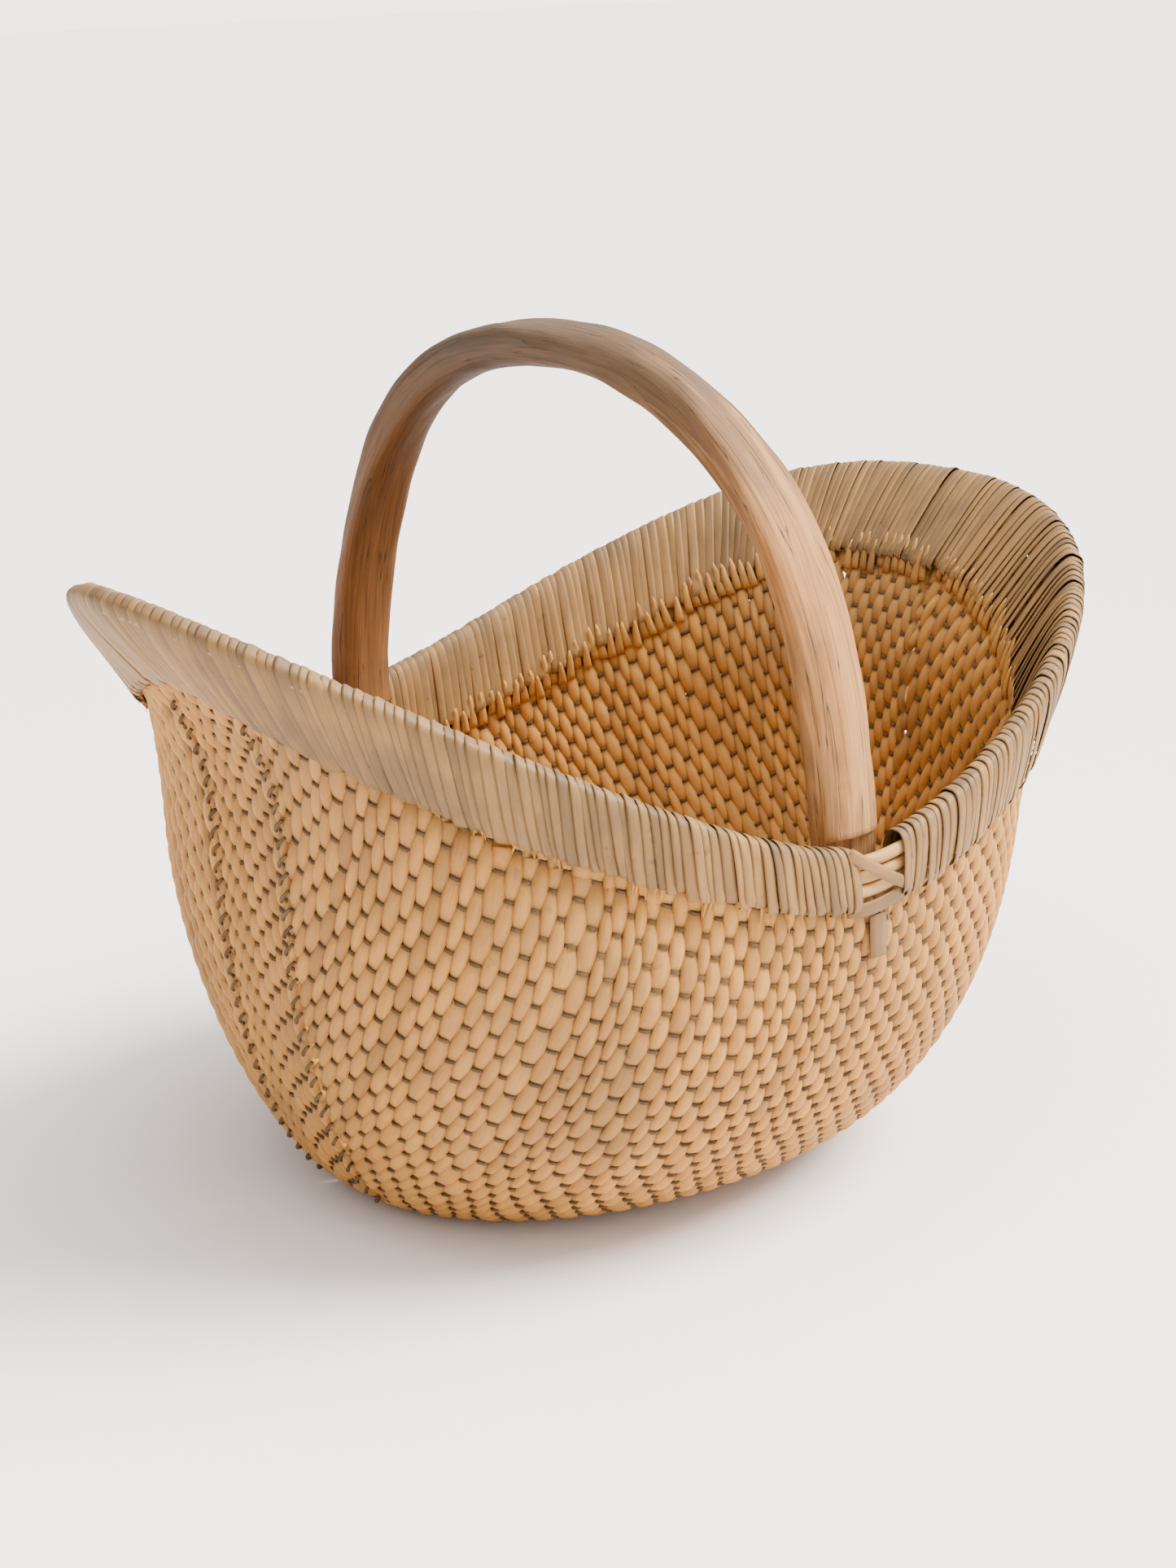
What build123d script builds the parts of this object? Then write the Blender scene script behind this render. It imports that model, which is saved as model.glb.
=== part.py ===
from build123d import *
import os
from math import cos, sin, pi, radians, copysign, hypot, atan2

# Winnowing basket of cord-woven peeled willow with a fixed bentwood handle.
# Frame: +X along the length, +Y towards the far side, +Z up, origin at the
# middle of the flat base.  Millimetres.

# ---------------------------------------------------------------- sizes
HALF_WIDTH = 190.0            # rim ridge, middle of the basket
HALF_LEN_L = 239.0            # ridge at the left lip
HALF_LEN_R = 246.0            # ridge at the right lip
RIM_MID_Z = 185.0             # ridge height where the handle crosses
RIM_LEFT_Z = 304.0
RIM_RIGHT_Z = 284.0
BASE_LEN_L, BASE_LEN_R = 122.0, 92.0      # flat base, half lengths
BASE_HALF_W = 78.0
BODY_LEN_L, BODY_LEN_R = 178.0, 190.0     # belly under the lips
BELLY_INSET = 2.0             # belly inside the ridge, middle of the basket
BODY_HALF_W = HALF_WIDTH - BELLY_INSET
CURVE_H_L, CURVE_H_R, CURVE_H_Y = 152.0, 190.0, 146.0   # height of the rounded foot
WALL_T = 6.0                  # woven wall
BASE_T = 6.0
BASE_GAP = 0.8                # round the base, where the side rods turn under
BAND_W_MID, BAND_W_END = 38.0, 52.0       # depth of the wrapped rim band
FLARE_END = radians(41)       # lean of the lips at both ends
BAND_HALF_T = 8.2             # half thickness of the band at its lower edge
SKIN_T = 1.7                  # one layer of willow skein
END_HALF = 30.0               # half width of an end panel
CLEAR = 0.3                   # between pieces that touch
WRAP_GAP_L, WRAP_GAP_R = 9.0, 18.0        # bare rim either side of the handle
HANDLE_W, HANDLE_T = 30.0, 19.0
HANDLE_TOP_Z = 375.0          # centreline
HANDLE_INSET = 10.0           # handle centreline inside the ridge
HANDLE_Y = HALF_WIDTH - HANDLE_INSET
WALL_TUCK = 6.0               # weave stops this far under the ridge
TOP_THIN = 1.3                # the weave thins where its rod tips enter the band


def spow(v, p):
    return copysign(abs(v) ** p, v)


def vec(*c):
    return Vector(*c)


def squircle(th, n):
    # unit superellipse |x|^n + |y|^n = 1 taken by polar angle, smooth at both axes
    c, s = cos(th), sin(th)
    d = (abs(c) ** n + abs(s) ** n) ** (1 / n)
    return c / d, s / d


# ---------------------------------------------------------------- rim line
def rise(u, m):
    # smooth saddle: 0 at the handle, 1 at the lip
    d = 0.12
    return ((u * u + d * d) ** (m / 2) - d ** m) / ((1 + d * d) ** (m / 2) - d ** m)


def ridge(th):
    left = cos(th) < 0
    n = 1.78 if left else 2.45
    half = HALF_LEN_L if left else HALF_LEN_R
    top = RIM_LEFT_Z if left else RIM_RIGHT_Z
    cx, cy = squircle(th, n)
    z = RIM_MID_Z + (top - RIM_MID_Z) * rise(abs(cx), 1.25)
    return vec(half * cx, HALF_WIDTH * cy, z)


def band_frame(th):
    # ridge point, direction up the band, direction out of the band, band depth
    a, b = ridge(th - 0.004), ridge(th + 0.004)
    out = vec(b.Y - a.Y, a.X - b.X, 0).normalized()
    p = ridge(th)
    u = abs(p.X) / (HALF_LEN_L if p.X < 0 else HALF_LEN_R)
    lean = FLARE_END * u ** 1.4
    up = vec(0, 0, 1) * cos(lean) + out * sin(lean)
    off = out * cos(lean) - vec(0, 0, 1) * sin(lean)
    depth = BAND_W_MID + (BAND_W_END - BAND_W_MID) * u
    return p, up, off, depth


def band_point(th, q, r):
    p, up, off, _ = band_frame(th)
    return p - up * q + off * r


def half_thick(q, depth, ro):
    # inverted-U section of the band: full at its foot, rounded over at the ridge
    t = min(max((depth - q) / depth, 0), 1)
    return ro * (1 - t ** 3.2) ** (1 / 3.2)


# ---------------------------------------------------------------- woven wall
def foot(t):
    # quarter ellipse: level at the base, upright where it meets the wall
    t = min(max(t, 0), 1)
    return (t * (2 - t)) ** 0.5


def belly(th, z):
    left = cos(th) < 0
    n = 2.1 + 0.35 * min(z / 150, 1)
    a0, a1, zk = ((BASE_LEN_L, BODY_LEN_L, CURVE_H_L) if left
                  else (BASE_LEN_R, BODY_LEN_R, CURVE_H_R))
    a = a0 + (a1 - a0) * foot(z / zk)
    b = BASE_HALF_W + (BODY_HALF_W - BASE_HALF_W) * foot(z / CURVE_H_Y)
    cx, cy = squircle(th, n)
    return vec(a * cx, b * cy, z)


def wall(th, v):
    # v 0..0.82 from the base edge to the foot of the band, then up inside it
    p, up, off, depth = band_frame(th)
    foot_pt = p - up * depth
    if v > 0.82:
        k = (v - 0.82) / 0.18
        return foot_pt + up * ((depth - WALL_TUCK) * k)
    half = WALL_T / 2
    high = foot_pt.Z - half
    z = high * (v / 0.82) ** 2
    top = belly(th, high)
    k = max(0.0, (z - (high - 75)) / 75) ** 2.2
    return belly(th, z) + vec(foot_pt.X - top.X, foot_pt.Y - top.Y, 0) * k + vec(0, 0, half)


SEAMS = {}


def seam_angle(v, end, side):
    # plan angle of a corner seam: keeps the end panel almost parallel-sided
    key = (round(v, 6), end)
    if key not in SEAMS:
        SEAMS[key] = find_seam(v, end)
    return SEAMS[key] if side > 0 else -SEAMS[key]


def find_seam(v, end):
    lo, hi = 0.0, pi / 2
    want = END_HALF * (0.72 + 0.28 * v)
    base = pi if end < 0 else 0.0
    for _ in range(24):
        mid = (lo + hi) / 2
        th = base - mid if end < 0 else base + mid
        if abs(wall(th, v).Y) < want:
            lo = mid
        else:
            hi = mid
    return base - lo if end < 0 else base + lo


def wall_normal(th, v):
    h = 0.003
    v0, v1 = max(v - h, 0.0), min(v + h, 1.0)
    if v0 == 0.0:
        v0, v1 = 0.02, 0.026
    a = wall(th + h, max(v, .02)) - wall(th - h, max(v, .02))
    b = wall(th, v1) - wall(th, v0)
    return a.cross(b).normalized()


def wall_half(v):
    ease = min(max((v - 0.7) / 0.12, 0), 1)
    return WALL_T / 2 - TOP_THIN * ease * ease * (3 - 2 * ease)


# ---------------------------------------------------------------- solids
def skin(face_a, face_b):
    # closed solid between two four-sided patches with matching corners
    def four(f):
        def miss(e, a, b):
            p, q = e @ 0, e @ 1
            return min((p - a).length + (q - b).length, (p - b).length + (q - a).length)
        return [min(f.edges(), key=lambda e: miss(e, *pair)) for pair in f.ends]
    sides = [Face.make_surface_from_curves(p, q) for p, q in zip(four(face_a), four(face_b))]
    body = Solid(Shell([face_a, face_b] + sides))
    if body.volume < 0:
        body = Solid(body.wrapped.Reversed())
    return body


def patch(fn, nu, nv):
    grid = [[fn(i / (nu - 1), j / (nv - 1)) for j in range(nv)] for i in range(nu)]
    face = Face.make_surface_from_array_of_points(grid, tol=0.1, min_deg=3, max_deg=3)
    a, b, c, d = fn(0, 0), fn(1, 0), fn(1, 1), fn(0, 1)
    face.ends = [(a, b), (b, c), (c, d), (d, a)]
    return face


def save(shape, name):
    shape.label = name
    export_step(shape, f"parts/{name}.step")


os.makedirs("parts", exist_ok=True)


def woven_panel(name, ang):
    # ang(u, v) gives the plan angle across the panel
    def layer(sign):
        def fn(u, v):
            th = ang(u, v)
            return wall(th, v) + wall_normal(th, v) * (sign * wall_half(v))
        return fn
    save(skin(patch(layer(1), 27, 17), patch(layer(-1), 27, 17)), name)


SEAM_GAP = 0.5


def side_angle(side):
    def ang(u, v):
        a, b = seam_angle(v, -1, side), seam_angle(v, 1, side)
        k = SEAM_GAP / 190
        if side < 0:
            a += 2 * pi if a < 0 else 0
            b += 2 * pi if b < 0 else 0
            lo, hi = a + k, b - k
        else:
            lo, hi = b + k, a - k
        return lo + (hi - lo) * u
    return ang


def end_angle(end):
    def ang(u, v):
        k = SEAM_GAP / 190
        a = seam_angle(v, end, 1)
        if end < 0:
            lo, hi = a + k, 2 * pi - a - k
        else:
            lo, hi = -a + k, a - k
        return lo + (hi - lo) * u
    return ang



woven_panel("near_side_weave", side_angle(-1))
woven_panel("far_side_weave", side_angle(1))
woven_panel("left_end_weave", end_angle(-1))
woven_panel("right_end_weave", end_angle(1))


# ---------------------------------------------------------------- base
def base_edge(th, inset):
    p = belly(th, 0)
    d = hypot(p.X, p.Y)
    return vec(p.X * (1 - inset / d), p.Y * (1 - inset / d), 0)


base_line = Spline([base_edge(2 * pi * i / 36, BASE_GAP) for i in range(36)], periodic=True)
base = extrude(Face(Wire([base_line])), BASE_T, dir=(0, 0, 1))
save(base, "base_weave")


# ---------------------------------------------------------------- rim rods
def rod(name, th0, th1, q0, q1, side):
    # one split rod laid along the rim: flat inner face, rounded outer face
    inner = WALL_T / 2 - CLEAR

    def make(outer):
        def fn(u, v):
            th = th0 + (th1 - th0) * u
            _, _, _, depth = band_frame(th)
            scale = (depth - WALL_TUCK) / (BAND_W_MID - WALL_TUCK)
            q = WALL_TUCK + (q0 + (q1 - q0) * v - WALL_TUCK) * scale
            room = half_thick(q, depth, BAND_HALF_T - SKIN_T) - CLEAR
            thick = room - inner
            r = inner + (thick * (0.7 + 1.2 * v * (1 - v)) if outer else 0)
            return band_point(th, q, side * r)
        return fn
    n = max(25, int(abs(th1 - th0) / 0.09))
    save(skin(patch(make(True), n, 7), patch(make(False), n, 7)), name)


HANDLE_ANG = {-1: -pi / 2, 1: pi / 2}
ROWS = [(11.5, 18.0), (18.8, 26.0), (26.8, 34.5)]
FAR_SPLIT = 0.004


def ang_at(x, side):
    # plan angle of the ridge point a distance x along from the handle
    lo, hi = 0.0, pi / 2
    for _ in range(30):
        mid = (lo + hi) / 2
        if abs(ridge(pi / 2 + copysign(mid, -x)).X) < abs(x):
            lo = mid
        else:
            hi = mid
    th = pi / 2 + copysign(lo, -x)
    return th if side > 0 else -th


for k, (q0, q1) in enumerate(ROWS):
    # outer hoops run right round and butt together under the far lashing
    rod(f"outer_rim_hoop_{k + 1}", pi / 2 + FAR_SPLIT, 5 * pi / 2 - FAR_SPLIT, q0, q1, 1)
NOTCH_CLEAR = HANDLE_W / 2 + 1.0
a_near_r, a_near_l = ang_at(NOTCH_CLEAR, -1), ang_at(-NOTCH_CLEAR, -1) + 2 * pi
a_far_r, a_far_l = ang_at(NOTCH_CLEAR, 1), ang_at(-NOTCH_CLEAR, 1)
for k, (q0, q1) in enumerate(ROWS):
    # inner hoops stop either side of the handle legs
    rod(f"inner_rim_rod_right_{k + 1}", a_near_r, a_far_r, q0, q1, -1)
    rod(f"inner_rim_rod_left_{k + 1}", a_far_l, a_near_l, q0, q1, -1)


# ---------------------------------------------------------------- skein wrap
def wrap(name, th0, th1):
    def make(ro):
        def fn(u, v):
            th = th0 + (th1 - th0) * u
            _, _, _, depth = band_frame(th)
            # v runs from the outer foot over the ridge to the inner foot
            ang = pi * v
            full = depth + (ro - BAND_HALF_T)
            across, down = squircle(ang, 3.2)
            return band_point(th, depth - full * abs(down), ro * across)
        return fn
    n = max(25, int(abs(th1 - th0) / 0.09))
    save(skin(patch(make(BAND_HALF_T), n, 33), patch(make(BAND_HALF_T - SKIN_T), n, 33)), name)


wrap("right_rim_wrap", ang_at(WRAP_GAP_R, -1), ang_at(WRAP_GAP_R, 1))
wrap("left_rim_wrap", ang_at(-WRAP_GAP_L, 1), ang_at(-WRAP_GAP_L, -1) + 2 * pi)


# ---------------------------------------------------------------- corner laces
LACE_W, LACE_T = 5.0, 1.6


def lace(name, end, side):
    def make(height):
        def fn(u, v):
            w = 0.14 + 0.66 * v
            th = seam_angle(w, end, side) + (u - 0.5) * LACE_W / 150
            return wall(th, w) + wall_normal(th, w) * (wall_half(w) + CLEAR + height)
        return fn
    save(skin(patch(make(LACE_T), 5, 31), patch(make(0), 5, 31)), name)


lace("left_near_corner_lace", -1, -1)
lace("left_far_corner_lace", -1, 1)
lace("right_near_corner_lace", 1, -1)
lace("right_far_corner_lace", 1, 1)


# ---------------------------------------------------------------- rim lashings
def rim_strip(name, side, x0, q0, x1, q1, width):
    # flat willow strip over the bare outer hoops beside a handle leg
    def make(height):
        def fn(u, v):
            x = x0 + (x1 - x0) * u
            q = q0 + (q1 - q0) * u + (v - 0.5) * width
            th = ang_at(x, side)
            depth = band_frame(th)[3]
            r = half_thick(q, depth, BAND_HALF_T - SKIN_T)
            return band_point(th, q, r + height)
        return fn
    save(skin(patch(make(1.1), 9, 7), patch(make(0), 9, 7)), name)


for side, word in ((-1, "near"), (1, "far")):
    rim_strip(f"{word}_diagonal_lashing", side, -7.5, 9.5, 16.0, 26.5, 6.0)
    rim_strip(f"{word}_cross_lashing", side, -7.5, 33.6, 16.0, 33.6, 5.0)


# ---------------------------------------------------------------- handle
ARCH_N = 2.4
ARCH_Z0 = RIM_MID_Z - 29.0    # handle heights follow the rim that holds it
SHOULDER_Z = RIM_MID_Z + 1.0
LUG_Z = RIM_MID_Z - 14.0
TONGUE_Z = RIM_MID_Z - 35.0


def arch_point(t):
    return vec(0, -HANDLE_Y * spow(cos(t), 2 / ARCH_N),
               ARCH_Z0 + (HANDLE_TOP_Z - ARCH_Z0) * abs(sin(t)) ** (2 / ARCH_N))


t_end = 0.0
while arch_point(t_end).Z < SHOULDER_Z:
    t_end += 0.0005
sections = []
STEPS = 16
for i in range(STEPS + 1):
    t = t_end + (pi - 2 * t_end) * i / STEPS
    p = arch_point(t)
    d = (arch_point(t + 0.002) - arch_point(t - 0.002)).normalized()
    if i in (0, STEPS):
        d = vec(0, 0, 1 if i == 0 else -1)
    plane = Plane(origin=p, x_dir=vec(1, 0, 0), z_dir=d)
    grip = 1 - 0.09 * sin(t) ** 4
    sections.append(plane * SlotOverall(HANDLE_W * grip, HANDLE_T * (2 - grip) * 0.98))
handle = loft(sections)

lug_out = HALF_WIDTH - BAND_HALF_T - 0.4
lug_in = HANDLE_Y - HANDLE_T / 2 + 0.6
tongue_out = HALF_WIDTH - WALL_T / 2 - 0.1
for side in (-1, 1):
    lug = Pos(0, side * (lug_out + lug_in) / 2, (LUG_Z + SHOULDER_Z + 2) / 2) * Box(
        HANDLE_W - 8, lug_out - lug_in, SHOULDER_Z + 2 - LUG_Z)
    lug = chamfer(lug.edges().group_by(Axis.Z)[0].group_by(Axis.Y)[0 if side > 0 else -1], 3)
    tongue = Pos(1.8, side * (tongue_out + lug_out - 1) / 2, (TONGUE_Z + SHOULDER_Z + 2) / 2) * Box(
        20.0, tongue_out - lug_out + 1, SHOULDER_Z + 2 - TONGUE_Z)
    handle = handle + lug + tongue
save(handle.solid() if hasattr(handle, "solid") else handle, "handle_bow")


# ---------------------------------------------------------------- tongue end
def stub(name):
    def make(height):
        def fn(u, v):
            th = ang_at(-1.0 + 9.0 * u, -1)
            w = 0.772 + 0.044 * v
            return wall(th, w) + wall_normal(th, w) * (wall_half(w) + CLEAR + height)
        return fn
    save(skin(patch(make(3.0), 5, 5), patch(make(0), 5, 5)), name)


stub("near_handle_tongue_end")
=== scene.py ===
# %% [markdown]
# # Winnowing basket of cord-woven willow
# A boat-shaped basket for tossing and carrying grain.  The body is a cloth of
# peeled willow rods bound by cords, folded up into two sides and two narrow
# ends; a band of flat willow skein wraps the rim, and one bent branch makes the
# handle.  The CAD frame gives the sizes, and this lesson gives each piece its
# looks.
#
# The first cell loads the frame.  Nothing else is read.

# %% Frame and sizes
import math
import bpy
import mathutils
import numpy as np
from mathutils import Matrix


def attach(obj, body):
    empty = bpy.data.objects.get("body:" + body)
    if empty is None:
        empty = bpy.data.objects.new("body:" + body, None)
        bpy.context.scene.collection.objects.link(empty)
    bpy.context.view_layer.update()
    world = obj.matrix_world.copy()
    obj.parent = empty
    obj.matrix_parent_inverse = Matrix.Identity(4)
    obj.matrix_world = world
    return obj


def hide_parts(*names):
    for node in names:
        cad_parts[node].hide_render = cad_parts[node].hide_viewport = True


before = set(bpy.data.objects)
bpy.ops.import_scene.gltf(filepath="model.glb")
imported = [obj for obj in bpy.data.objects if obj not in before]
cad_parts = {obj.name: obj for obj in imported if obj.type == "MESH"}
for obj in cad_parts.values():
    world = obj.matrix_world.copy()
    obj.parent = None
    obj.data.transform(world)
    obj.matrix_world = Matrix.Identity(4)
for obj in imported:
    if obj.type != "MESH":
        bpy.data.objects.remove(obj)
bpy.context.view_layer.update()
rng = np.random.default_rng(41)
MM = 0.001

HALF_WIDTH, HALF_LEN_L, HALF_LEN_R = 190.0, 239.0, 246.0
RIM_MID_Z, RIM_LEFT_Z, RIM_RIGHT_Z = 185.0, 304.0, 284.0
BASE_LEN_L, BASE_LEN_R, BASE_HALF_W = 122.0, 92.0, 78.0
BODY_LEN_L, BODY_LEN_R, BODY_HALF_W = 178.0, 190.0, 188.0
CURVE_H_L, CURVE_H_R, CURVE_H_Y = 152.0, 190.0, 146.0
BAND_W_MID, BAND_W_END, FLARE_END = 38.0, 52.0, math.radians(41)
BAND_HALF_T, SKIN_T, END_HALF, WALL_HALF = 8.2, 1.7, 30.0, 3.0
FOOT_V, BAND_V = 0.82, 0.18     # shares of a rod's run below the band and inside it
SHORTEST_ROD, ROD_THICK, BASE_ROD_THICK = 30.0, 2.7, 2.4

# %% [markdown]
# The whole basket hangs on three formulas: the ridge line of the rim, the band
# that leans out from it, and the belly below.  The same formulas shaped the
# CAD solids, so the rods land where the solids are.  Writing them for whole
# arrays lets one call place every point of a panel at once.

# %% The basket's surfaces


def squircle(th, n):
    """Superellipse by polar angle: direction (cos, sin) divided by the n-norm."""
    c, s = np.cos(th), np.sin(th)
    d = (np.abs(c) ** n + np.abs(s) ** n) ** (1 / n)
    return c / d, s / d


def ridge(th):
    """Rim ridge: superellipse in plan, height rising smoothly with distance from the handle."""
    left = np.cos(th) < 0
    cx, cy = squircle(th, np.where(left, 1.78, 2.45))
    d, m = 0.12, 1.25
    up = ((cx * cx + d * d) ** (m / 2) - d ** m) / ((1 + d * d) ** (m / 2) - d ** m)
    x = np.where(left, HALF_LEN_L, HALF_LEN_R) * cx
    z = RIM_MID_Z + (np.where(left, RIM_LEFT_Z, RIM_RIGHT_Z) - RIM_MID_Z) * up
    return np.stack([x, HALF_WIDTH * cy, z], -1)


def band_frame(th):
    """Ridge point, direction up the band, direction out of it, and the band's depth."""
    a, b, p = ridge(th - 0.004), ridge(th + 0.004), ridge(th)
    out = np.stack([b[..., 1] - a[..., 1], a[..., 0] - b[..., 0], 0 * a[..., 0]], -1)
    out /= np.linalg.norm(out, axis=-1, keepdims=True)
    u = np.abs(p[..., 0]) / np.where(p[..., 0] < 0, HALF_LEN_L, HALF_LEN_R)
    lean = (FLARE_END * u ** 1.4)[..., None]
    z = np.array([0.0, 0.0, 1.0])
    up = z * np.cos(lean) + out * np.sin(lean)
    off = out * np.cos(lean) - z * np.sin(lean)
    return p, up, off, BAND_W_MID + (BAND_W_END - BAND_W_MID) * u


def band_point(th, q, r):
    """Point q below the ridge along the band and r out of its middle surface."""
    p, up, off, _ = band_frame(th)
    return p - up * np.asarray(q)[..., None] + off * np.asarray(r)[..., None]


def belly(th, z):
    """Superellipse plan whose half lengths follow a quarter ellipse up from the base."""
    left = np.cos(th) < 0
    n = 2.1 + 0.35 * np.clip(z / 150, 0, 1)

    def foot(t):
        t = np.clip(t, 0, 1)
        return np.sqrt(t * (2 - t))
    a = np.where(left, BASE_LEN_L + (BODY_LEN_L - BASE_LEN_L) * foot(z / CURVE_H_L),
                 BASE_LEN_R + (BODY_LEN_R - BASE_LEN_R) * foot(z / CURVE_H_R))
    b = BASE_HALF_W + (BODY_HALF_W - BASE_HALF_W) * foot(z / CURVE_H_Y)
    cx, cy = squircle(th, n)
    return np.stack([a * cx, b * cy, z], -1)


def wall(th, v):
    """Middle of the woven wall: v 0 at the base edge, 0.82 at the band's foot, 1 inside it."""
    th, v = np.broadcast_arrays(np.asarray(th, float), np.asarray(v, float))
    p, up, _, depth = band_frame(th)
    foot_pt = p - up * depth[..., None]
    high = foot_pt[..., 2] - WALL_HALF
    z = high * np.clip(v / FOOT_V, 0, 1) ** 2
    top = belly(th, high)
    k = np.clip((z - (high - 75)) / 75, 0, 1) ** 2.2
    shift = (foot_pt - top) * np.array([1.0, 1.0, 0.0]) * k[..., None]
    low = belly(th, z) + shift + np.array([0, 0, WALL_HALF])
    climb = ((depth - 6.0) * np.clip((v - FOOT_V) / BAND_V, 0, 1))[..., None]
    return np.where((v > FOOT_V)[..., None], foot_pt + up * climb, low)


def unit(a):
    """Each vector divided by its own length."""
    return a / np.maximum(np.linalg.norm(a, axis=-1, keepdims=True), 1e-9)


def wall_normal(th, v):
    """Outward normal of the wall from two small steps along it."""
    v = np.clip(v, 0.03, 0.985)
    a = wall(th + 0.004, v) - wall(th - 0.004, v)
    b = wall(th, v + 0.01) - wall(th, v - 0.01)
    return unit(np.cross(a, b))


print("ridge at the lips and the handle", ridge(np.array([np.pi, 0.0, -np.pi / 2])).round(1).tolist())

# %% [markdown]
# Every rod, cord, skein turn and stitch is a strip swept along a path, so one
# function turns rows of rings into quads and closes both ends.  The mesh also
# carries three values the materials read: where a point lies on its own rod,
# a random tone for that rod, and how hard a cord pinches it.

# %% Sweeping and meshing helpers


def run_length(path):
    """Distance along a path at each of its points: the lengths of its steps added up."""
    return np.concatenate([[0], np.cumsum(np.linalg.norm(np.diff(path, axis=0), axis=-1))])


def sample(at, s, rows):
    """Points read at distances at along a path whose own distances are s, in straight lines between."""
    return np.stack([np.interp(at, s, rows[:, c]) for c in range(3)], -1)


def ring(count, power=2.0):
    """Unit superellipse ring of the given number of corners."""
    a = 2 * np.pi * (np.arange(count) + 0.5) / count
    x, y = squircle(a, power)
    return np.stack([x, y], -1)


def ring_faces(rows, corners):
    """Quads between neighbouring rings, with each end closed by a ladder of quads."""
    r, c = np.meshgrid(np.arange(rows - 1), np.arange(corners), indexing="ij")
    n = (c + 1) % corners
    q = np.stack([r * corners + c, r * corners + n, (r + 1) * corners + n, (r + 1) * corners + c], -1)
    k = np.arange(corners // 2 - 1)
    cap = np.stack([(corners - k) % corners, k + 1, k + 2, corners - 1 - k], -1)
    last = (rows - 1) * corners
    return np.concatenate([q.reshape(-1, 4), cap[:, ::-1], cap + last])


class Bundle:
    """Collects swept strips into one mesh."""

    def __init__(self):
        self.co, self.quads, self.lay, self.tone, self.pinch, self.count = [], [], [], [], [], 0

    def strip(self, centre, side, out, half_w, half_t, shape, tone, pinch=0.0, offset=0.0):
        """Sweeps a ring: centre + side * ring x * half width + out * ring y * half thickness."""
        rows, corners = len(centre), len(shape)
        hw, ht = (np.broadcast_to(np.reshape(h, (-1, 1)) if np.ndim(h) < 2 else h, (rows, corners))[..., None]
                  for h in (half_w, half_t))
        co = (centre[:, None] + side[:, None] * (shape[None, :, :1] * hw)
              + out[:, None] * (shape[None, :, 1:] * ht))
        along = run_length(centre)
        lay = np.empty((rows, corners, 3))
        lay[..., 0] = shape[None, :, 0] * hw[..., 0]
        lay[..., 1] = shape[None, :, 1] * ht[..., 0]
        lay[..., 2] = along[:, None] + offset
        dark = np.reshape(pinch, (-1, 1)) if np.ndim(pinch) < 2 else pinch
        self.raw(co.reshape(-1, 3), ring_faces(rows, corners), lay.reshape(-1, 3), tone,
                 np.broadcast_to(dark, (rows, corners)).ravel())

    def raw(self, co, quads, lay, tone, pinch):
        """Adds points and quads that are already worked out."""
        self.co.append(co)
        self.quads.append(quads + self.count)
        self.lay.append(lay)
        self.tone.append(np.full(len(co), tone))
        self.pinch.append(np.broadcast_to(pinch, len(co)))
        self.count += len(co)

    def build(self, name, material):
        """All strips as one smooth mesh object, in metres, with its lay, tone and pinch."""
        co = np.concatenate(self.co) * MM
        quads = np.concatenate(self.quads)
        mesh = bpy.data.meshes.new(name)
        mesh.vertices.add(len(co))
        mesh.vertices.foreach_set("co", co.astype(np.float32).ravel())
        mesh.loops.add(quads.size)
        mesh.loops.foreach_set("vertex_index", quads.astype(np.int32).ravel())
        mesh.polygons.add(len(quads))
        mesh.polygons.foreach_set("loop_start", np.arange(0, quads.size, 4, dtype=np.int32))
        mesh.update(calc_edges=True)
        mesh.shade_smooth()
        lay = mesh.attributes.new("lay", "FLOAT_VECTOR", "POINT")
        lay.data.foreach_set("vector", (np.concatenate(self.lay) * MM).astype(np.float32).ravel())
        for key, rows in (("tone", self.tone), ("pinch", self.pinch)):
            att = mesh.attributes.new(key, "FLOAT", "POINT")
            att.data.foreach_set("value", np.concatenate(rows).astype(np.float32))
        mesh.validate()
        mesh.materials.append(material)
        obj = bpy.data.objects.new(name, mesh)
        bpy.context.scene.collection.objects.link(obj)
        print(name, len(quads) * 2, "triangles")
        return obj


def finish_piece(obj, slot, *nodes):
    """Rides a piece on the body and hides the CAD nodes it stands for; the finish in slot is not used."""
    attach(obj, "root")
    if nodes:
        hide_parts(*nodes)


def frames(path, normal):
    """Sideways and outward directions along a path lying on a surface."""
    t = unit(np.gradient(path, axis=0))
    side = unit(np.cross(t, normal))
    return side, unit(np.cross(side, t))


print("one step of a rod has", len(ring_faces(2, 8)), "quads with both ends closed")

# %% [markdown]
# Old willow has dried to straw and brown with grey dirt in patches and specks,
# and the creases beside the cords are darkened towards grey as painted shade.
# The tints that several materials share live in one node group, which takes the
# place on the rod, the rod's random tone and the pinch, and gives back a colour
# and a height for the bump; each material then sets its own shine.

# %% Materials


def node(tree, kind, links=None, **values):
    """A new shader node with its settings and input values, and sockets linked to its inputs."""
    n = tree.nodes.new(kind)
    for key, value in values.items():
        if hasattr(n, key):
            setattr(n, key, value)
        else:
            n.inputs[key].default_value = value
    for key, source in (links or {}).items():
        tree.links.new(source, n.inputs[key])
    return n


def ramp(tree, fac, *stops):
    """A colour that passes through the stops as fac grows."""
    n = tree.nodes.new("ShaderNodeValToRGB")
    els = n.color_ramp.elements
    while len(els) < len(stops):
        els.new(0.5)
    for e, (pos, col) in zip(els, stops):
        e.position, e.color = pos, (*col, 1) if len(col) == 3 else col
    tree.links.new(fac, n.inputs["Fac"])
    return n.outputs["Color"]


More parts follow.
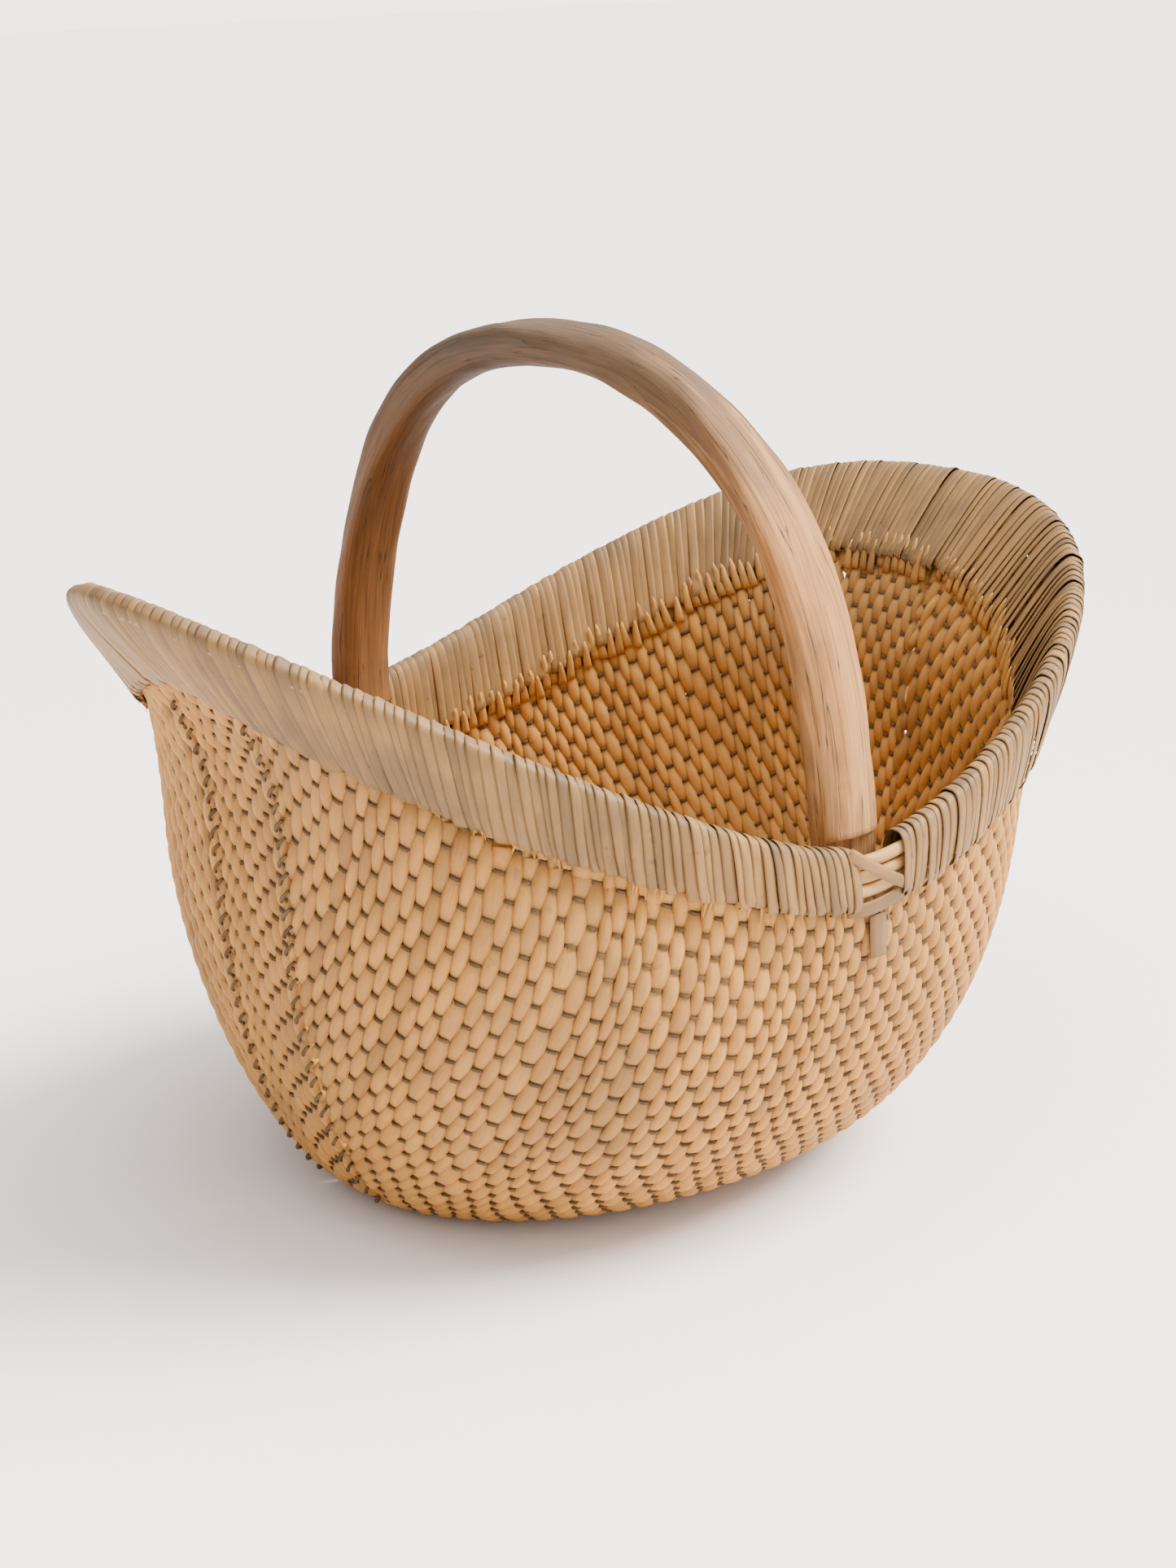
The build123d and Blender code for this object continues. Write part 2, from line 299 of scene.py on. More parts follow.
def mixed(tree, mode, fac, a, b):
    """Colour a blended towards colour b by fac."""
    n = tree.nodes.new("ShaderNodeMix")
    n.data_type, n.blend_type, n.clamp_factor = "RGBA", mode, True
    for sock, value in ((n.inputs[0], fac), (n.inputs[6], a), (n.inputs[7], b)):
        if isinstance(value, bpy.types.NodeSocket):
            tree.links.new(value, sock)
        elif isinstance(value, (int, float)):
            sock.default_value = value
        else:
            sock.default_value = (*value, 1)
    return n.outputs[2]


def value_math(tree, op, *values):
    """One Math node on up to three values or sockets."""
    n = tree.nodes.new("ShaderNodeMath")
    n.operation = op
    for sock, value in zip(n.inputs, values):
        if isinstance(value, bpy.types.NodeSocket):
            tree.links.new(value, sock)
        else:
            sock.default_value = value
    return n.outputs[0]


def fibre_group():
    """Fibres, blotches, dirt and painted crease shade for peeled willow: in Lay, Tone, Pinch; out Fibre,
    Blotch, the dirt and painted shade mask, Height.
    """
    g = bpy.data.node_groups.new("willow_fibres", "ShaderNodeTree")
    for name, kind in (("Lay", "NodeSocketVector"), ("Tone", "NodeSocketFloat"), ("Pinch", "NodeSocketFloat")):
        g.interface.new_socket(name, in_out="INPUT", socket_type=kind)
    for name in ("Fibre", "Blotch", "DirtAndShade", "Height"):
        g.interface.new_socket(name, in_out="OUTPUT", socket_type="NodeSocketFloat")
    src, dst = g.nodes.new("NodeGroupInput"), g.nodes.new("NodeGroupOutput")
    seed = value_math(g, "MULTIPLY", src.outputs["Tone"], 37.0)
    squash = node(g, "ShaderNodeVectorMath", {"Vector": src.outputs["Lay"]}, operation="MULTIPLY")
    squash.inputs[1].default_value = (1500.0, 1500.0, 60.0)
    fine = node(g, "ShaderNodeTexNoise", {"Vector": squash.outputs[0], "W": seed},
                noise_dimensions="4D", Scale=1.0, Detail=3.0, Roughness=0.6)
    blot = node(g, "ShaderNodeVectorMath", {"Vector": src.outputs["Lay"]}, operation="MULTIPLY")
    blot.inputs[1].default_value = (120.0, 120.0, 45.0)
    patch = node(g, "ShaderNodeTexNoise", {"Vector": blot.outputs[0], "W": seed},
                 noise_dimensions="4D", Scale=1.0, Detail=2.0, Roughness=0.5)
    place = node(g, "ShaderNodeTexCoord")
    dirt = node(g, "ShaderNodeTexNoise", {"Vector": place.outputs["Object"]},
                Scale=11.0, Detail=5.0, Roughness=0.62)
    spots = node(g, "ShaderNodeTexNoise", {"Vector": place.outputs["Object"]}, Scale=190.0, Detail=2.0)
    speck = node(g, "ShaderNodeMapRange", {"Value": spots.outputs["Fac"]},
                 **{"From Min": 0.66, "From Max": 0.76, "To Min": 0.0, "To Max": 0.45})
    cloud = node(g, "ShaderNodeMapRange", {"Value": dirt.outputs["Fac"]},
                 **{"From Min": 0.45, "From Max": 0.75, "To Min": 0.0, "To Max": 0.8})
    # The pinch darkens the crease beside each cord as painted shade on the rods; on the skein it carries wear
    # along the crest of each turn.
    crease = value_math(g, "MULTIPLY", src.outputs["Pinch"], 0.75)
    # Dirt patches and specks together with the painted crease shade.
    dirt_and_crease_shade = value_math(g, "MAXIMUM", value_math(g, "ADD", speck.outputs[0], cloud.outputs[0]), crease)
    g.links.new(fine.outputs["Fac"], dst.inputs["Fibre"])
    g.links.new(patch.outputs["Fac"], dst.inputs["Blotch"])
    g.links.new(dirt_and_crease_shade, dst.inputs["DirtAndShade"])
    g.links.new(fine.outputs["Fac"], dst.inputs["Height"])
    return g


FIBRES = fibre_group()


def willow(name, pale, warm, dark, dirt_and_shade_amount=0.7, rough=0.62, bump=0.25, grey=(0.16, 0.13, 0.10)):
    """Peeled willow in three tones, with fibres along the rod, dirt in patches and painted shade in the
    creases.
    """
    m = bpy.data.materials.new(name)
    m.use_nodes = True
    t = m.node_tree
    bsdf = t.nodes["Principled BSDF"]
    att = {k: node(t, "ShaderNodeAttribute", attribute_name=k) for k in ("lay", "tone", "pinch")}
    fib = t.nodes.new("ShaderNodeGroup")
    fib.node_tree = FIBRES
    t.links.new(att["lay"].outputs["Vector"], fib.inputs["Lay"])
    t.links.new(att["tone"].outputs["Fac"], fib.inputs["Tone"])
    t.links.new(att["pinch"].outputs["Fac"], fib.inputs["Pinch"])
    base = ramp(t, att["tone"].outputs["Fac"], (0.0, warm), (0.45, pale), (0.8, warm), (1.0, dark))
    blotch = ramp(t, fib.outputs["Blotch"], (0.42, (0, 0, 0)), (0.7, (0.6, 0.6, 0.6)))
    blotched = mixed(t, "MIX", blotch, base, dark)
    lined = mixed(t, "MULTIPLY", 0.55, blotched,
                  ramp(t, fib.outputs["Fibre"], (0.3, (0.72, 0.66, 0.6)), (0.65, (1.08, 1.06, 1.04))))
    # Dirt patches and the painted shade in the creases pull the colour towards grey.
    dirtied_and_shaded = mixed(t, "MIX", value_math(t, "MULTIPLY", fib.outputs["DirtAndShade"], dirt_and_shade_amount), lined, grey)
    t.links.new(dirtied_and_shaded, bsdf.inputs["Base Color"])
    b = node(t, "ShaderNodeBump", {"Height": fib.outputs["Height"]}, Strength=bump, Distance=0.0004)
    t.links.new(b.outputs["Normal"], bsdf.inputs["Normal"])
    bsdf.inputs["Roughness"].default_value = rough
    bsdf.inputs["Specular IOR Level"].default_value = 0.22
    return m


ROD = willow("peeled_willow_rod", (0.53, 0.262, 0.058), (0.47, 0.217, 0.046), (0.33, 0.155, 0.036),
             grey=(0.11, 0.07, 0.035))
SKEIN = willow("willow_skein_wrap", (0.31, 0.170, 0.056), (0.26, 0.136, 0.042), (0.17, 0.092, 0.032),
               0.9, 0.5, 0.3, grey=(0.06, 0.042, 0.026))
SPLIT = willow("split_rim_rod", (0.56, 0.33, 0.11), (0.46, 0.25, 0.075), (0.34, 0.18, 0.05), 0.5)
CORD = willow("bast_cord", (0.13, 0.075, 0.030), (0.11, 0.06, 0.024), (0.07, 0.04, 0.018), 0.4, 0.85, 0.6)
print("materials", [m.name for m in (ROD, SKEIN, SPLIT, CORD)])

# %% [markdown]
# A side panel is a row of upright rods.  Rods could be spaced along the length,
# but that leaves wide gaps where the wall turns, so each keeps its place along
# the girth of the wall at every height, and rods near the ends run out on the
# corner seam.  Cord rows lie 7.5 mm apart at the middle and about 10 mm at the
# ends, over one rod and under the next, so each rod swells outward between two
# cords and inward at the next pair, half a step out of line with its neighbours.

# %% Woven panels
CORD_STEP, ROD_PITCH = 7.5, 5.4
STEP_PARTS = np.array([0.0, 0.11, 0.5, 0.89])
ROWS_V = np.linspace(1.0, 0.0, 150)
ROD_RING, CORD_RING = ring(8, 2.8), ring(6)
PAIR_RING = np.array([[-1, -0.4], [1, -0.4], [1.05, 0.5], [0.55, 1], [0, 0.35], [-0.55, 1]])


def seam_curve(end):
    """Plan angle of the far corner seam for each height, by bisection on its Y."""
    lo, hi = np.zeros_like(ROWS_V), np.full_like(ROWS_V, np.pi / 2)
    want = END_HALF * (0.72 + 0.28 * ROWS_V)
    for _ in range(26):
        mid = (lo + hi) / 2
        th = np.pi - mid if end < 0 else mid
        short = np.abs(wall(th, ROWS_V)[:, 1]) < want
        lo, hi = np.where(short, mid, lo), np.where(short, hi, mid)
    return np.pi - lo if end < 0 else lo


SEAM = {-1: seam_curve(-1), 1: seam_curve(1)}


def panel_paths(lo, hi, axis, places, fan, lean):
    """Angle of every rod at every height: girth of places*fan - lean*drop from the middle, nan past a seam."""
    k = np.linspace(0, 1, 320)[None, :]
    th = lo[:, None] + (hi - lo)[:, None] * k
    out = np.empty((len(ROWS_V), len(places)))
    for i, row in enumerate(wall(th, ROWS_V[:, None])):
        girth = run_length(row)
        up = np.sign(row[-1, axis] - row[0, axis])
        order = slice(None, None, int(up))
        middle = np.interp(0, row[order, axis], girth[order])
        drop = np.clip(1 - (ROWS_V[i] / FOOT_V) ** 2, 0, 1)
        out[i] = np.interp(places * fan[i] - lean * drop, ((girth - middle) * up)[order], th[i][order],
                           left=np.nan, right=np.nan)
    return out


def top_girth(lo, hi, axis):
    """Girth to either side of the middle at the top of a panel, from the end on the minus side."""
    row = wall(np.linspace(lo[0], hi[0], 400), np.ones(400))
    girth = run_length(row)
    up = np.sign(row[-1, axis] - row[0, axis])
    order = slice(None, None, int(up))
    middle = np.interp(0, row[order, axis], girth[order])
    return sorted(((0 - middle) * up, (girth[-1] - middle) * up))


def grain(phase, width, thick, to_end):
    """Half width and thickness round a rod: grains taper evenly to the cord and drop steeply just beside it."""
    face = (ROD_RING[:, 1] > 0)[None, :]
    over = np.where(face, np.abs(np.sin(phase / 2))[:, None], np.abs(np.cos(phase / 2))[:, None])
    tail = np.clip((to_end + 1.5) / 5, 0.2, 1)[:, None]
    w = width * (1.28 - 0.20 * over ** 2.2 - 0.03 * over ** 30) * tail
    t = thick * (1.10 - 0.16 * over ** 3 - 0.52 * over ** 24) * tail
    return w, t


def pinch_of(phase):
    """How deep in a crease each ring point lies."""
    outer, inner = np.abs(np.sin(phase / 2)) ** 30, np.abs(np.cos(phase / 2)) ** 30
    return np.where((ROD_RING[:, 1] > 0)[None, :], outer[:, None], inner[:, None])


def steps_along(first, last, step):
    """Sample places along a rod, close together beside each cord."""
    whole = np.arange(math.ceil(first / step), last / step)
    at = ((whole[:, None] + STEP_PARTS[None, :]) * step).ravel()
    return np.append(at[at < last], last)


def weave_panel(name, lo, hi, axis, places, widths, fan, lean, nodes):
    """Rods and cords of one panel; the cord rows spread towards the taller ends of the wall."""
    rods, cords = Bundle(), Bundle()
    step = CORD_STEP * (1 + 0.36 * np.clip(np.abs(places) / 170, 0, 1) ** 1.2)
    ang = panel_paths(lo, hi, axis, places, fan, lean)
    sides = []
    for i in range(len(places)):
        ok = ~np.isnan(ang[:, i])
        if ok.sum() < 12:
            sides.append(None)
            continue
        stop = np.argmax(~ok) if (~ok).any() and ok[0] else len(ok)
        th, v = ang[:stop, i], ROWS_V[:stop]
        if len(th) < 12:
            sides.append(None)
            continue
        p = wall(th, v)
        s = run_length(p)
        if s[-1] < SHORTEST_ROD:
            sides.append(None)
            continue
        at = steps_along(12.0, s[-1], step[i])
        vv, tt = np.interp(at, s, v), np.interp(at, s, th)
        p, n = wall(tt, vv), wall_normal(tt, vv)
        side, out = frames(p, n)
        phase = np.pi * (at / step[i] + i)
        ends = np.clip(np.minimum(at - 10, s[-1] - at + 3) / 10, 0.0, 1)
        jit = 0.2 * np.interp(at, np.linspace(0, s[-1], 9), rng.normal(0, 1, 9))
        rods.strip(p + out * (0.3 * np.cos(phase) * ends)[:, None] + side * jit[:, None], side, out,
                   *grain(phase, widths[i] * (1 + 0.03 * rng.normal()), ROD_THICK, s[-1] - at),
                   ROD_RING, rng.random(), pinch_of(phase), rng.random() * 500)
        sides.append((at, p, side, out, s[-1], band_frame(th[0])[3]))
    rows = int(max(a[4] for a in sides if a) / CORD_STEP)
    for j in range(2, rows):
        s_at = j * step
        idx = [i for i, a in enumerate(sides) if a and a[4] > s_at[i] + 1 and a[0][0] <= s_at[i]]
        for run in np.split(idx, np.where(np.diff(idx) > 1)[0] + 1):
            if len(run) < 3:
                continue
            pts = np.array([sample(s_at[i], sides[i][0], sides[i][1]) for i in run])
            nrm = unit(np.array([sample(s_at[i], sides[i][0], sides[i][3]) for i in run]))
            k = np.arange(run[0] - 0.5, run[-1] + 0.51, 0.25)
            pk = sample(k, run, pts)
            nk = unit(sample(k, run, nrm))
            lift = 2.0 * np.clip(-1.35 * np.cos(np.pi * (k + j)), -1, 1)
            side, out = frames(pk, nk)
            over = np.where(lift > 0, 1.0, -1.0)
            cords.strip(pk + nk * lift[:, None], side, out * over[:, None], 0.8, 0.5, PAIR_RING,
                        rng.random(), 0.0, rng.random() * 400)
    obj = rods.build(name + "_rods", ROD)
    finish_piece(obj, "willow_rod", *nodes)
    cobj = cords.build(name + "_cords", CORD)
    finish_piece(cobj, "hemp_cord")
    return sides


def rod_places(start, stop, pitch):
    """Uneven rod widths that add up to the panel's width, and the middle of each."""
    count = int(round((stop - start) / pitch))
    w = np.clip(rng.normal(1, 0.16, count), 0.7, 1.4)
    w *= (stop - start) / w.sum()
    edge = start + np.concatenate([[0], np.cumsum(w)])
    return (edge[1:] + edge[:-1]) / 2, w / 2


SIDES = {}
STRAIGHT = np.ones_like(ROWS_V)
for word, sgn in (("near", -1), ("far", 1)):
    lo, hi = (SEAM[1], SEAM[-1]) if sgn > 0 else (2 * np.pi - SEAM[-1], 2 * np.pi - SEAM[1])
    start, stop = top_girth(lo, hi, 0)
    places, widths = rod_places(start - 1 - 25 * (sgn > 0), stop + 30 * (sgn < 0) - 1, ROD_PITCH)
    lean = np.clip(20 - 0.13 * places, 0, 50) if sgn < 0 else np.full(len(places), -22.0)
    SIDES[word] = weave_panel(word + "_side", lo, hi, 0, places, widths, STRAIGHT, lean, [word + "_side_weave"])
for word, end in (("left", -1), ("right", 1)):
    lo, hi = (SEAM[-1], 2 * np.pi - SEAM[-1]) if end < 0 else (-SEAM[1], SEAM[1])
    start, stop = top_girth(lo, hi, 1)
    places, widths = rod_places(start + 1, stop - 1, ROD_PITCH)
    SIDES[word] = weave_panel(word + "_end", lo, hi, 1, places, widths, 1 - 0.12 * (1 - ROWS_V),
                              np.zeros_like(places), [word + "_end_weave"])

# %% [markdown]
# Under the basket the same rods run lengthwise, so the base is one flat panel
# whose rods end on the turned edge.  It is thinner than the sides and lies
# wholly above the floor plane.

# %% Base
base = Bundle()
ys, ws = rod_places(-BASE_HALF_W * 1.04, BASE_HALF_W * 1.04, ROD_PITCH)
edge = belly(np.linspace(-np.pi, np.pi, 721), np.zeros(721)) * 1.06
right, left = edge[edge[:, 0] > 0], edge[edge[:, 0] < 0]
for i, (y, w) in enumerate(zip(ys, ws)):
    x1 = right[np.abs(right[:, 1] - y).argmin(), 0] + 3
    x0 = left[np.abs(left[:, 1] - y).argmin(), 0] - 3
    x = steps_along(x0, x1, CORD_STEP)
    phase = np.pi * (x / CORD_STEP + i)
    path = np.stack([x, np.full_like(x, y), 3.6 + 0.25 * np.cos(phase)], -1)
    side, out = frames(path, np.tile([0.0, 0.0, -1.0], (len(x), 1)))
    base.strip(path, side, out, *grain(phase, w, BASE_ROD_THICK, np.minimum(x1 - x, x - x0)),
               ROD_RING, rng.random(), pinch_of(phase))
base_obj = base.build("base_rods", ROD)
finish_piece(base_obj, "willow_rod", "base_weave")

# %% [markdown]
# The rim is wound with flat skein, turn beside turn, from the foot of the band
# outside, over the ridge, to its foot inside.  Each turn is a crowned ribbon
# that overlaps the next a little and leans, more so round the lips, and its two
# ends curl under the hoops.

# %% Rim wrap
WRAP_OUT, WRAP_IN = 0.65, 1.06      # how far down the band each fold of the skein reaches


def angle_at(x, side):
    """Plan angle on the near or far side whose ridge point lies x along the basket."""
    th = np.linspace(0.02, np.pi - 0.02, 4001)
    t = np.interp(-x, -ridge(th)[:, 0], th)
    return t if side > 0 else -t


def wrap_turns(name, th0, th1, nodes):
    """Skein turns between two plan angles: each follows a superellipse over the ridge, down both faces."""
    wrap = Bundle()
    fine = np.linspace(th0, th1, 2400)
    s = run_length(ridge(fine))
    edges = [0.0]
    while edges[-1] < s[-1] - 3:
        edges.append(edges[-1] + float(np.clip(rng.normal(4.5, 0.7), 3.2, 6.6)))
    edges[-1] = s[-1]
    a = np.linspace(-0.10, 1.10, 34) * np.pi
    shape = np.array([[-1, 0.2], [-0.6, 0.8], [0.0, 1.0], [0.6, 0.8],
                      [1, 0.2], [0.6, -0.5], [0, -0.6], [-0.6, -0.5]])
    for e0, e1 in zip(edges[:-1], edges[1:]):
        mid, half = (e0 + e1) / 2, (e1 - e0) / 2
        here = np.interp(mid, s, fine)
        crest = np.abs(ridge(np.array([here]))[0])
        u = crest[0] / 242
        down = np.sin(np.clip(a, 0, np.pi))
        skew = (3.5 + 9 * u ** 2) * (1 - down ** 0.8) * rng.normal(1, 0.16) * min(1.0, crest[1] / 75)
        turn = 1 if math.sin(here) < 0 else -1
        lean = np.where(a < np.pi / 2, 1.0, -0.35) * skew * (1 if math.cos(here) < 0 else -1) * turn
        at = np.clip(mid + lean, -1, s[-1] + 1)
        th = np.interp(at, s, fine)
        _, _, _, depth = band_frame(th)
        across, rise = squircle(np.clip(a, 0, np.pi), 3.2)
        ro = BAND_HALF_T - SKIN_T / 2 + 0.25 * rng.normal()
        reach = np.where(a < np.pi / 2, WRAP_OUT + (1 - WRAP_OUT) * u ** 1.5, WRAP_IN)
        fold = depth * reach + rng.normal(0, 0.7)
        q = fold - (fold - SKIN_T / 2) * np.abs(rise)
        curl = np.clip(np.maximum(-a, a - np.pi), 0, 1)
        q = q + 2.2 * np.sin(np.clip(curl * 9, 0, np.pi / 2))
        r = ro * across * (1 - 1.25 * curl)
        p = band_point(th, q, r)
        tangent = unit(np.gradient(p, axis=0))
        ahead = unit(ridge(th + 0.003) - ridge(th - 0.003))
        out = unit(np.cross(tangent, ahead))
        side = unit(np.cross(out, tangent))
        tilt = 0.15 + 0.04 * rng.normal()
        side, out = side * math.cos(tilt) + out * math.sin(tilt), out * math.cos(tilt) - side * math.sin(tilt)
        lift = 0.2 * np.interp(a, np.linspace(a[0], a[-1], 6), rng.normal(0, 1, 6))
        taper = np.where(curl > 0, 0.9, 1.0)
        worn = np.clip(rng.uniform(0.15, 1.0) * np.abs(rise) ** 2.6, 0, 1)
        wrap.strip(p + out * lift[:, None], side, out, half * 1.2 * taper, 0.6, shape, rng.random(), worn,
                   rng.random() * 300)
    obj = wrap.build(name, SKEIN)
    finish_piece(obj, "willow_skein", *nodes)
    return obj


GAP_L, GAP_R = -9.0, 18.0           # where each wrap stops beside the handle
wrap_turns("right_rim_turns", angle_at(GAP_R, -1), angle_at(GAP_R, 1), ["right_rim_wrap"])
wrap_turns("left_rim_turns", angle_at(GAP_L, 1), angle_at(GAP_L, -1) + 2 * np.pi, ["left_rim_wrap"])

# %% [markdown]
# The handle is one bent branch.  Its arch follows the CAD path, while its
# section is a worn, slightly faceted oval that wanders a little, so it reads as
# grown wood and not as a bent tube.  Below the rim its outer half is cut away.

# %% Handle
HANDLE_W, HANDLE_T, HANDLE_Y, HANDLE_TOP_Z, ARCH_Z0 = 30.0, 19.0, 180.0, 375.0, 156.0
LEG_END_Z, LAP_TOP_Z = 171.0, 186.0     # where the legs stop, and where their outer half is cut away


def arch(t):
    """Superellipse arch in the plane X = 0 from the near foot to the far foot."""
    c, s = np.cos(t), np.sin(t)
    e = 2 / 2.4
    y = -HANDLE_Y * np.sign(c) * np.abs(c) ** e
    return np.stack([0 * t, y, ARCH_Z0 + (HANDLE_TOP_Z - ARCH_Z0) * np.abs(s) ** e], -1)


t = np.linspace(0.015, np.pi - 0.015, 900)
p = arch(t)
keep = p[:, 2] > LEG_END_Z
p = p[keep]
s = run_length(p)
at = np.arange(0, s[-1], 2.6)
p = sample(at, s, p)
k = at / s[-1]
tangent = unit(np.gradient(p, axis=0))
side = np.tile([1.0, 0.0, 0.0], (len(p), 1))
out = unit(np.cross(side, tangent))
out *= np.where((out * (p - np.array([0, 0, 200.0]))).sum(-1, keepdims=True) < 0, -1, 1)
CORNERS = 48
a = 2 * np.pi * (np.arange(CORNERS) + 0.5) / CORNERS
sx, sy = squircle(a, 3.0)
waves = sum(rng.normal(0, 0.5) * np.sin(2 * np.pi * (f * k[:, None]) + rng.random() * 6 + n * a[None, :])
            for f in (1.3, 2.7, 4.1) for n in (1, 2, 3))
waves += 0.22 * sum(np.sin(2 * np.pi * f * k[:, None] + rng.random() * 6 + n * a[None, :])
                    for f, n in ((9, 5), (14, 4), (19, 7)))
grip = 1 - 0.09 * np.sin(np.pi * k) ** 4
bend = 1.6 * np.sin(2 * np.pi * k * 1.5 + 0.6) * np.sin(np.pi * k)
half_w = (HANDLE_W / 2 * grip)[:, None] + waves * 0.5
half_t = (HANDLE_T / 2 * (2 - grip) * 0.98)[:, None] + waves * 0.35
co = ((p + side * bend[:, None])[:, None] + side[:, None] * (sx[None] * half_w)[..., None]
      + out[:, None] * (sy[None] * half_t)[..., None])
low = co[..., 2] < LAP_TOP_Z
lug_out = HALF_WIDTH - BAND_HALF_T - 0.5
co[..., 1] = np.where(low & (np.abs(co[..., 1]) > lug_out), np.sign(co[..., 1]) * lug_out, co[..., 1])
handle = Bundle()
lay = np.stack([np.broadcast_to(sx * 15, half_w.shape), np.broadcast_to(sy * 9.5, half_w.shape),
                np.broadcast_to(at[:, None], half_w.shape)], -1)
handle.raw(co.reshape(-1, 3), ring_faces(len(p), CORNERS), lay.reshape(-1, 3), 0.4,
           np.repeat(k, CORNERS))


def handle_wood():
    """Worn branch: brown with grey weathering on top, a paler near leg, a far leg darkened by painted shade,
    and long cracks.
    """
    m = bpy.data.materials.new("bent_branch_wood")
    m.use_nodes = True
    t = m.node_tree
    bsdf = t.nodes["Principled BSDF"]
    lay = node(t, "ShaderNodeAttribute", attribute_name="lay")
    k = node(t, "ShaderNodeAttribute", attribute_name="pinch").outputs["Fac"]
    place = node(t, "ShaderNodeTexCoord").outputs["Object"]

    def stretched(scale, **kw):
        v = node(t, "ShaderNodeVectorMath", {"Vector": lay.outputs["Vector"]}, operation="MULTIPLY")
        v.inputs[1].default_value = scale
        return node(t, "ShaderNodeTexNoise", {"Vector": v.outputs[0]}, **kw).outputs["Fac"]
    grain = stretched((900.0, 900.0, 28.0), Scale=1.0, Detail=5.0, Roughness=0.65)
    broad = stretched((120.0, 120.0, 9.0), Scale=1.0, Detail=3.0, Roughness=0.6)
    crack = stretched((260.0, 260.0, 7.0), Scale=1.0, Detail=2.0, Roughness=0.4, Distortion=0.6)
    patch = node(t, "ShaderNodeTexNoise", {"Vector": place},
                 Scale=9.0, Detail=6.0, Roughness=0.66).outputs["Fac"]
    # Colour along the arch from the near foot: a pale near leg, a very dark weathered top, and a far leg
    # darkened as painted shade.
    leg = ramp(t, k, (0.0, (0.40, 0.185, 0.055)), (0.22, (0.34, 0.150, 0.045)), (0.36, (0.115, 0.064, 0.030)),
               (0.60, (0.060, 0.036, 0.019)), (0.72, (0.12, 0.058, 0.022)), (1.0, (0.21, 0.088, 0.026)))
    body = mixed(t, "MULTIPLY", 0.9, leg, ramp(t, grain, (0.25, (0.5, 0.45, 0.4)), (0.7, (1.18, 1.15, 1.1))))
    weathered = ramp(t, patch, (0.45, (0, 0, 0)), (0.62, (0.5, 0.5, 0.5)))
    worn = mixed(t, "MIX", weathered, body, (0.075, 0.047, 0.026))
    streak = value_math(t, "MULTIPLY", ramp(t, broad, (0.52, (0, 0, 0)), (0.6, (1, 1, 1))),
                        ramp(t, k, (0.0, (0.5, 0.5, 0.5)), (0.3, (0.5, 0.5, 0.5)), (0.4, (0.08, 0.08, 0.08))))
    pale = mixed(t, "MIX", streak, worn, (0.46, 0.235, 0.085))
    line = value_math(t, "ABSOLUTE", value_math(t, "SUBTRACT", crack, 0.5))
    cut = ramp(t, line, (0.0, (1, 1, 1)), (0.010, (0, 0, 0)))
    dark = mixed(t, "MIX", cut, pale, (0.05, 0.03, 0.018))
    t.links.new(dark, bsdf.inputs["Base Color"])
    rel = value_math(t, "SUBTRACT", value_math(t, "MULTIPLY", grain, 0.5), cut)
    b = node(t, "ShaderNodeBump", {"Height": rel}, Strength=0.6, Distance=0.0007)
    t.links.new(b.outputs["Normal"], bsdf.inputs["Normal"])
    bsdf.inputs["Roughness"].default_value = 0.6
    bsdf.inputs["Specular IOR Level"].default_value = 0.2
    return m


WOOD = handle_wood()
handle_obj = handle.build("handle_branch", WOOD)
finish_piece(handle_obj, "bent_wood", "handle_bow")

# %% [markdown]
# Split rods stiffen the rim.  The inner ones keep their CAD shape and take the
# split willow finish; the outer hoops are swept again as rounder rods, because
# they lie bare beside the handle.

# %% Rim rods
def dress(obj, material):
    """Gives every slot of a CAD node the material, leaving its mesh alone."""
    for i in range(len(obj.material_slots)):
        obj.material_slots[i].link = "OBJECT"
        obj.material_slots[i].material = material


for name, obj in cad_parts.items():
    if "rim_rod" in name:
        dress(obj, SPLIT)


def band_strip(th, q, r, half_w, half_t, shape, pinch=0.0):
    """A strip laid on the band through plan angle th, depth q and stand-off r."""
    bundle = Bundle()
    path = band_point(th, q, r)
    off = band_frame(th)[2]
    side, out = frames(path, off)
    bundle.strip(path, side, out, half_w, half_t, shape, rng.random(), pinch, rng.random() * 100)
    return bundle


ROUND, FLAT = ring(8), ring(8, 4.0)
for i, deep in enumerate((7.8, 13.6, 19.4)):
    th = np.linspace(0.0, 2 * np.pi, 420)
    sway = 0.5 * np.sin(5 * th + i) + 0.3 * np.sin(17 * th + 2 * i)
    hoop = band_strip(th, deep + sway, BAND_HALF_T - SKIN_T - 3.1, 2.9, 2.1, ROUND)
    finish_piece(hoop.build(f"outer_rim_hoop_rod_{i + 1}", SPLIT), "split_rod", f"outer_rim_hoop_{i + 1}")

# %% [markdown]
# Two flat straps cross the hoops beside each leg of the handle, and the end of
# its tongue shows under the near rim.  All are strips laid on the band.

# %% Straps and tongue
for word, sgn in (("near", -1), ("far", 1)):
    run = np.linspace(0, 1, 24)
    lie = BAND_HALF_T - SKIN_T + 1.2 - 3.0 * (2 * run - 1) ** 6
    th = angle_at(-12 + 33 * run, sgn)
    slant = band_strip(th, 2.0 + 22 * run, lie, 2.6, 0.5, FLAT, 0.25)
    finish_piece(slant.build(word + "_slanting_strap", SKEIN), "willow_skein", word + "_diagonal_lashing")
    cross = band_strip(th, 27.5 - 2.5 * run, lie - 1.6, 3.1, 0.6, FLAT, 0.3)
    finish_piece(cross.build(word + "_cross_strap", SKEIN), "willow_skein", word + "_cross_lashing")

